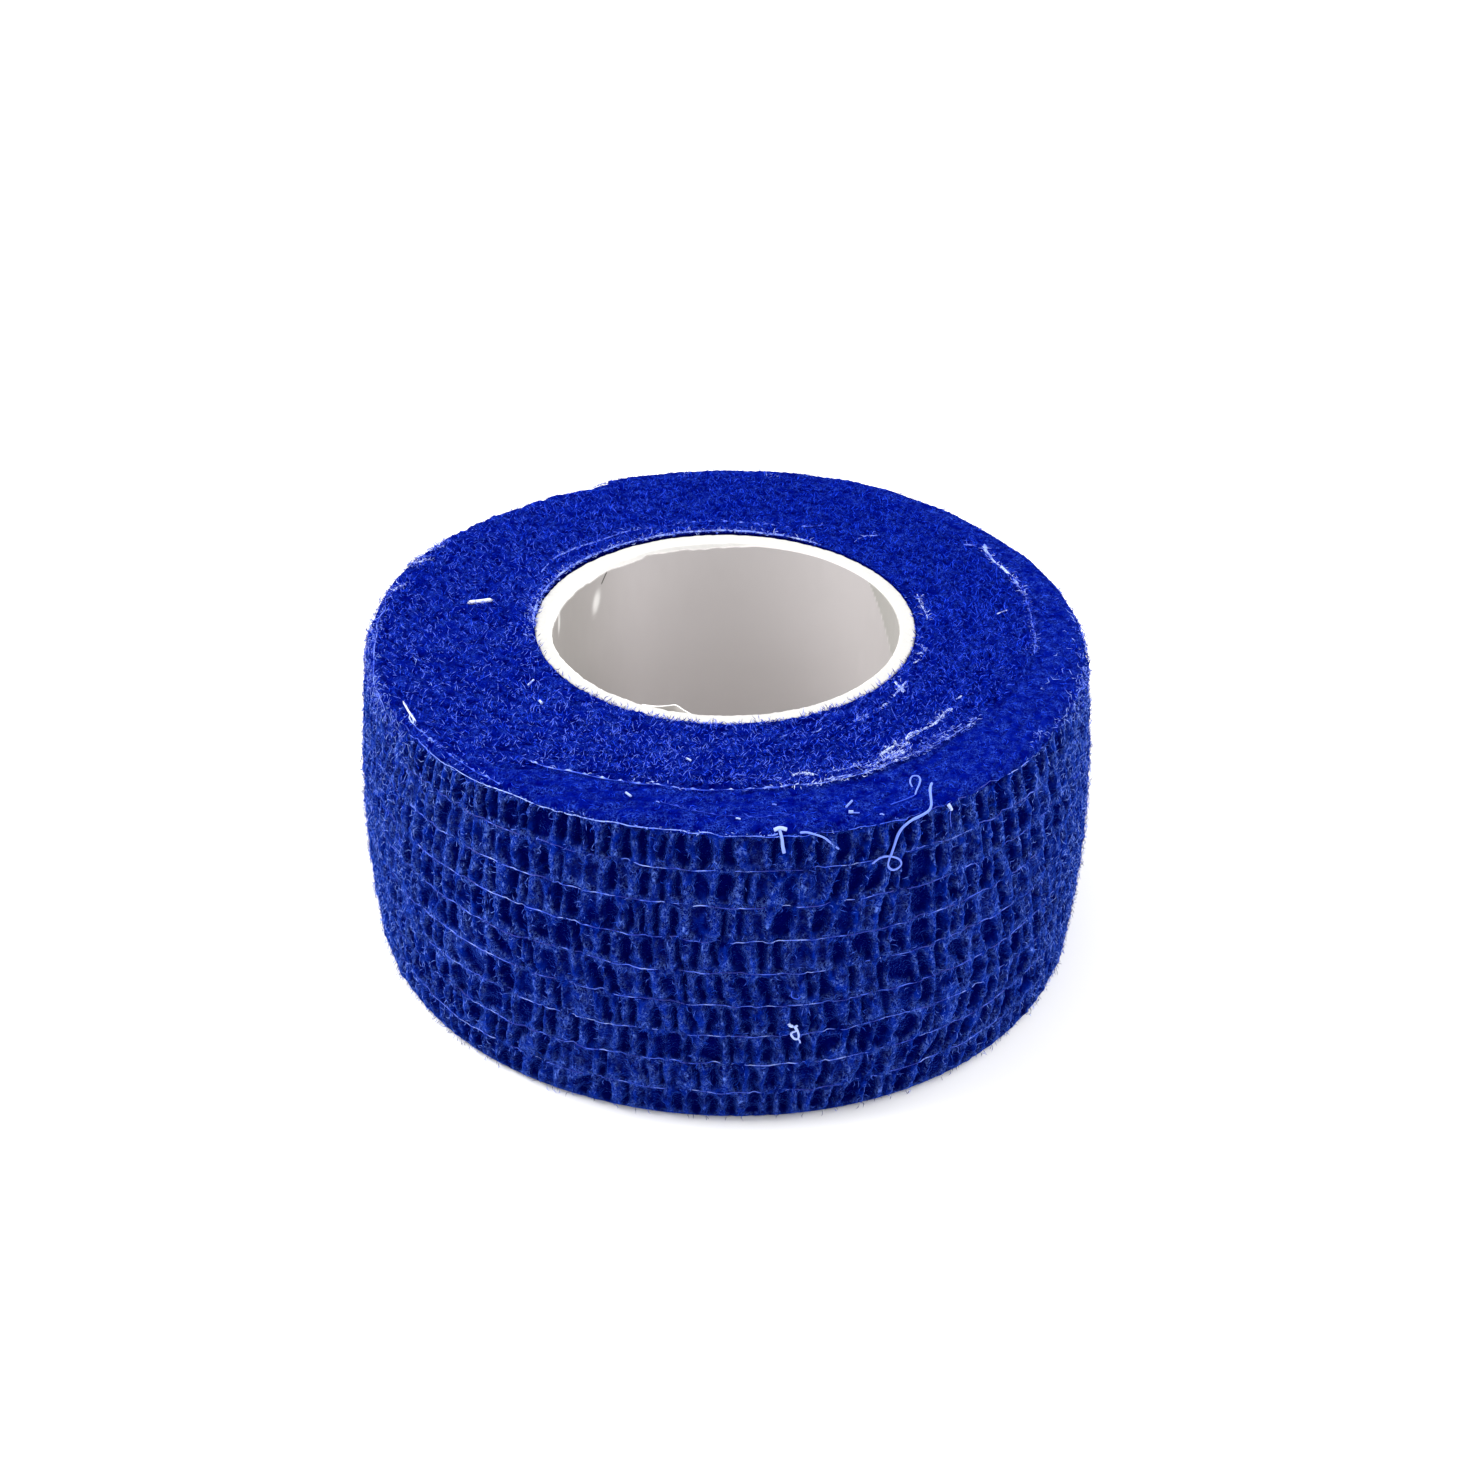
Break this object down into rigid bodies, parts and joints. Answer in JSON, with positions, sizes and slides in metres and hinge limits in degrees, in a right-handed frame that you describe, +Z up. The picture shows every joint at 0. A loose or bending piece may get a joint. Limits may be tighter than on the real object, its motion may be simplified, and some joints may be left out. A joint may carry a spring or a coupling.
{
  "type": "cohesive bandage roll",
  "caption": "Short roll of crinkled self-adhering crepe bandage wound on an open paper core; stands on its flat end and unwinds from the outside.",
  "frame": {"origin": "on the roll's axis, at the flat end that it stands on", "axes": "+Z up along the roll's axis; -Y faces the picture's camera; the cloth's cut end is at 112 degrees from +X towards +Y, at the back"},
  "size_m": [0.0562, 0.0564, 0.0255],
  "materials": {
    "crepe_cloth": "matt crinkled nonwoven crepe with pale lengthwise threads and a fuzzy cut edge",
    "core_paper": "white paper with a smooth satin inner face and a matt cut rim"
  },
  "bodies": {
    "root": {"wound_cloth": "crepe_cloth", "paper_core": "core_paper"}
  },
  "joints": []
}
